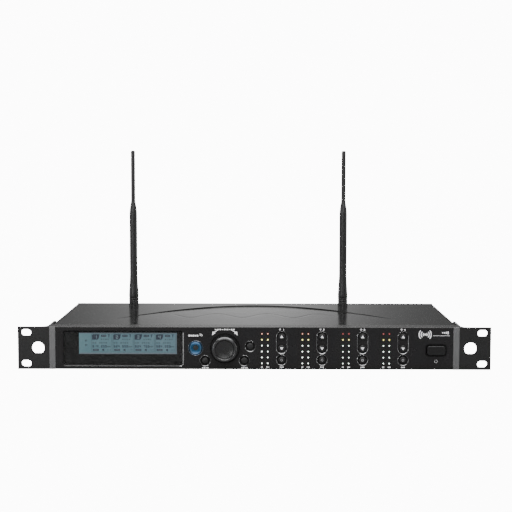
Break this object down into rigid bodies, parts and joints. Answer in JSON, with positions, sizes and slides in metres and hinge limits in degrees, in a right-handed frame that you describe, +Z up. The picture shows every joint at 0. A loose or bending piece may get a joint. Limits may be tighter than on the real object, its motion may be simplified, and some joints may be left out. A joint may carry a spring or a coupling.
{
  "type": "wireless receiver",
  "caption": "Rack-mount wireless microphone receiver with a wide display, control knob, channel keys and meter lamps, and folding whip antennas at the rear.",
  "frame": {"origin": "the middle of the bounding box's underside, at the height of the case's flat bottom", "axes": "+X to the right as seen from the front, +Y towards the rear, +Z up"},
  "size_m": [0.4826, 0.255, 0.223],
  "materials": {
    "fascia": "satin",
    "trim": "satin",
    "display_glass": "gloss",
    "black_plastic": "matt",
    "lcd": "satin",
    "lens_red": "gloss",
    "lens_yellow": "gloss",
    "lens_green": "gloss",
    "gloss_black": "gloss",
    "knob": "satin",
    "steel": "satin",
    "sync_blue": "gloss",
    "circuit_board": "satin",
    "case_paint": "satin",
    "ear_paint": "satin",
    "screw_steel": "black zinc",
    "brass": "satin",
    "tinplate": "bright",
    "cable_grey": "satin",
    "cable_black": "satin",
    "nickel": "satin nickel",
    "white_plastic": "satin",
    "antenna_black": "satin",
    "button_rubber": "satin"
  },
  "bodies": {
    "case": {"front_fascia": "fascia", "trim_strips": "trim", "display_lens": "display_glass", "display_mask": "black_plastic", "lcd_module": "lcd", "led_lenses_red": "lens_red", "led_lenses_yellow": "lens_yellow", "led_lenses_green": "lens_green", "encoder_body": "steel", "sync_cup": "sync_blue", "sync_emitter": "gloss_black", "front_board": "circuit_board", "tact_switches": "black_plastic", "chassis_tray": "case_paint", "top_cover": "case_paint", "rear_panel": "case_paint", "rack_ear_left": "ear_paint", "rack_ear_right": "ear_paint", "machine_screws": "screw_steel", "main_board": "circuit_board", "board_standoffs": "brass", "shield_cans": "tinplate", "ribbon_cable": "cable_grey", "coax_leads": "cable_black", "bnc_sockets": "nickel", "bnc_contacts": "white_plastic", "connector_nuts": "nickel", "xlr_shells": "case_paint", "xlr_inserts": "black_plastic", "xlr_pins": "nickel", "jack_sockets": "black_plastic", "dc_inlet": "black_plastic", "data_port": "tinplate"},
    "menu_button_body": {"menu_button": "button_rubber"},
    "back_button_body": {"back_button": "button_rubber"},
    "lock_button_body": {"lock_button": "button_rubber"},
    "channel_1_up_button_body": {"channel_1_up_button": "button_rubber"},
    "channel_1_down_button_body": {"channel_1_down_button": "button_rubber"},
    "channel_1_select_button_body": {"channel_1_select_button": "button_rubber"},
    "channel_2_up_button_body": {"channel_2_up_button": "button_rubber"},
    "channel_2_down_button_body": {"channel_2_down_button": "button_rubber"},
    "channel_2_select_button_body": {"channel_2_select_button": "button_rubber"},
    "channel_3_up_button_body": {"channel_3_up_button": "button_rubber"},
    "channel_3_down_button_body": {"channel_3_down_button": "button_rubber"},
    "channel_3_select_button_body": {"channel_3_select_button": "button_rubber"},
    "channel_4_up_button_body": {"channel_4_up_button": "button_rubber"},
    "channel_4_down_button_body": {"channel_4_down_button": "button_rubber"},
    "channel_4_select_button_body": {"channel_4_select_button": "button_rubber"},
    "power_button_body": {"power_button": "gloss_black"},
    "knob_push": {"encoder_plunger": "steel"},
    "knob_turn": {"encoder_shaft": "steel", "control_knob": "knob"},
    "collar_left": {"antenna_collar_left": "nickel"},
    "swivel_left": {"antenna_base_left": "antenna_black", "antenna_pin_left": "steel"},
    "whip_left": {"antenna_whip_left": "antenna_black"},
    "collar_right": {"antenna_collar_right": "nickel"},
    "swivel_right": {"antenna_base_right": "antenna_black", "antenna_pin_right": "steel"},
    "whip_right": {"antenna_whip_right": "antenna_black"}
  },
  "joints": [
    {"name": "menu_button_press", "type": "slide", "parent": "case", "child": "menu_button_body", "axis": [0, 1, 0], "range_m": [0, 0.0008], "stiffness_N_per_m": 400, "springref_m": -0.001},
    {"name": "back_button_press", "type": "slide", "parent": "case", "child": "back_button_body", "axis": [0, 1, 0], "range_m": [0, 0.0008], "stiffness_N_per_m": 400, "springref_m": -0.001},
    {"name": "lock_button_press", "type": "slide", "parent": "case", "child": "lock_button_body", "axis": [0, 1, 0], "range_m": [0, 0.0008], "stiffness_N_per_m": 400, "springref_m": -0.001},
    {"name": "channel_1_up_button_press", "type": "slide", "parent": "case", "child": "channel_1_up_button_body", "axis": [0, 1, 0], "range_m": [0, 0.0008], "stiffness_N_per_m": 400, "springref_m": -0.001},
    {"name": "channel_1_down_button_press", "type": "slide", "parent": "case", "child": "channel_1_down_button_body", "axis": [0, 1, 0], "range_m": [0, 0.0008], "stiffness_N_per_m": 400, "springref_m": -0.001},
    {"name": "channel_1_select_button_press", "type": "slide", "parent": "case", "child": "channel_1_select_button_body", "axis": [0, 1, 0], "range_m": [0, 0.0008], "stiffness_N_per_m": 400, "springref_m": -0.001},
    {"name": "channel_2_up_button_press", "type": "slide", "parent": "case", "child": "channel_2_up_button_body", "axis": [0, 1, 0], "range_m": [0, 0.0008], "stiffness_N_per_m": 400, "springref_m": -0.001},
    {"name": "channel_2_down_button_press", "type": "slide", "parent": "case", "child": "channel_2_down_button_body", "axis": [0, 1, 0], "range_m": [0, 0.0008], "stiffness_N_per_m": 400, "springref_m": -0.001},
    {"name": "channel_2_select_button_press", "type": "slide", "parent": "case", "child": "channel_2_select_button_body", "axis": [0, 1, 0], "range_m": [0, 0.0008], "stiffness_N_per_m": 400, "springref_m": -0.001},
    {"name": "channel_3_up_button_press", "type": "slide", "parent": "case", "child": "channel_3_up_button_body", "axis": [0, 1, 0], "range_m": [0, 0.0008], "stiffness_N_per_m": 400, "springref_m": -0.001},
    {"name": "channel_3_down_button_press", "type": "slide", "parent": "case", "child": "channel_3_down_button_body", "axis": [0, 1, 0], "range_m": [0, 0.0008], "stiffness_N_per_m": 400, "springref_m": -0.001},
    {"name": "channel_3_select_button_press", "type": "slide", "parent": "case", "child": "channel_3_select_button_body", "axis": [0, 1, 0], "range_m": [0, 0.0008], "stiffness_N_per_m": 400, "springref_m": -0.001},
    {"name": "channel_4_up_button_press", "type": "slide", "parent": "case", "child": "channel_4_up_button_body", "axis": [0, 1, 0], "range_m": [0, 0.0008], "stiffness_N_per_m": 400, "springref_m": -0.001},
    {"name": "channel_4_down_button_press", "type": "slide", "parent": "case", "child": "channel_4_down_button_body", "axis": [0, 1, 0], "range_m": [0, 0.0008], "stiffness_N_per_m": 400, "springref_m": -0.001},
    {"name": "channel_4_select_button_press", "type": "slide", "parent": "case", "child": "channel_4_select_button_body", "axis": [0, 1, 0], "range_m": [0, 0.0008], "stiffness_N_per_m": 400, "springref_m": -0.001},
    {"name": "power_button_press", "type": "slide", "parent": "case", "child": "power_button_body", "axis": [0, 1, 0], "range_m": [0, 0.0015], "stiffness_N_per_m": 400, "springref_m": -0.001},
    {"name": "control_knob_press", "type": "slide", "parent": "case", "child": "knob_push", "axis": [0, 1, 0], "range_m": [0, 0.0008], "stiffness_N_per_m": 900, "springref_m": -0.0015},
    {"name": "control_knob_turn", "type": "hinge", "parent": "knob_push", "child": "knob_turn", "pos_m": [-0.03, -0.1165, 0.0218], "axis": [0, 1, 0], "continuous": true},
    {"name": "antenna_left_lock", "type": "hinge", "parent": "case", "child": "collar_left", "pos_m": [-0.1472, 0.1015, 0.0218], "axis": [0, 1, 0], "range_deg": [0, 90]},
    {"name": "antenna_left_swivel", "type": "hinge", "parent": "case", "child": "swivel_left", "pos_m": [-0.1472, 0.1015, 0.0218], "axis": [0, 1, 0], "range_deg": [-90, 90]},
    {"name": "antenna_left_fold", "type": "hinge", "parent": "swivel_left", "child": "whip_left", "pos_m": [-0.1472, 0.1215, 0.0218], "axis": [-1, 0, 0], "range_deg": [0, 90]},
    {"name": "antenna_right_lock", "type": "hinge", "parent": "case", "child": "collar_right", "pos_m": [0.106, 0.1015, 0.0218], "axis": [0, 1, 0], "range_deg": [0, 90]},
    {"name": "antenna_right_swivel", "type": "hinge", "parent": "case", "child": "swivel_right", "pos_m": [0.106, 0.1015, 0.0218], "axis": [0, 1, 0], "range_deg": [-90, 90]},
    {"name": "antenna_right_fold", "type": "hinge", "parent": "swivel_right", "child": "whip_right", "pos_m": [0.106, 0.1215, 0.0218], "axis": [-1, 0, 0], "range_deg": [0, 90]}
  ]
}
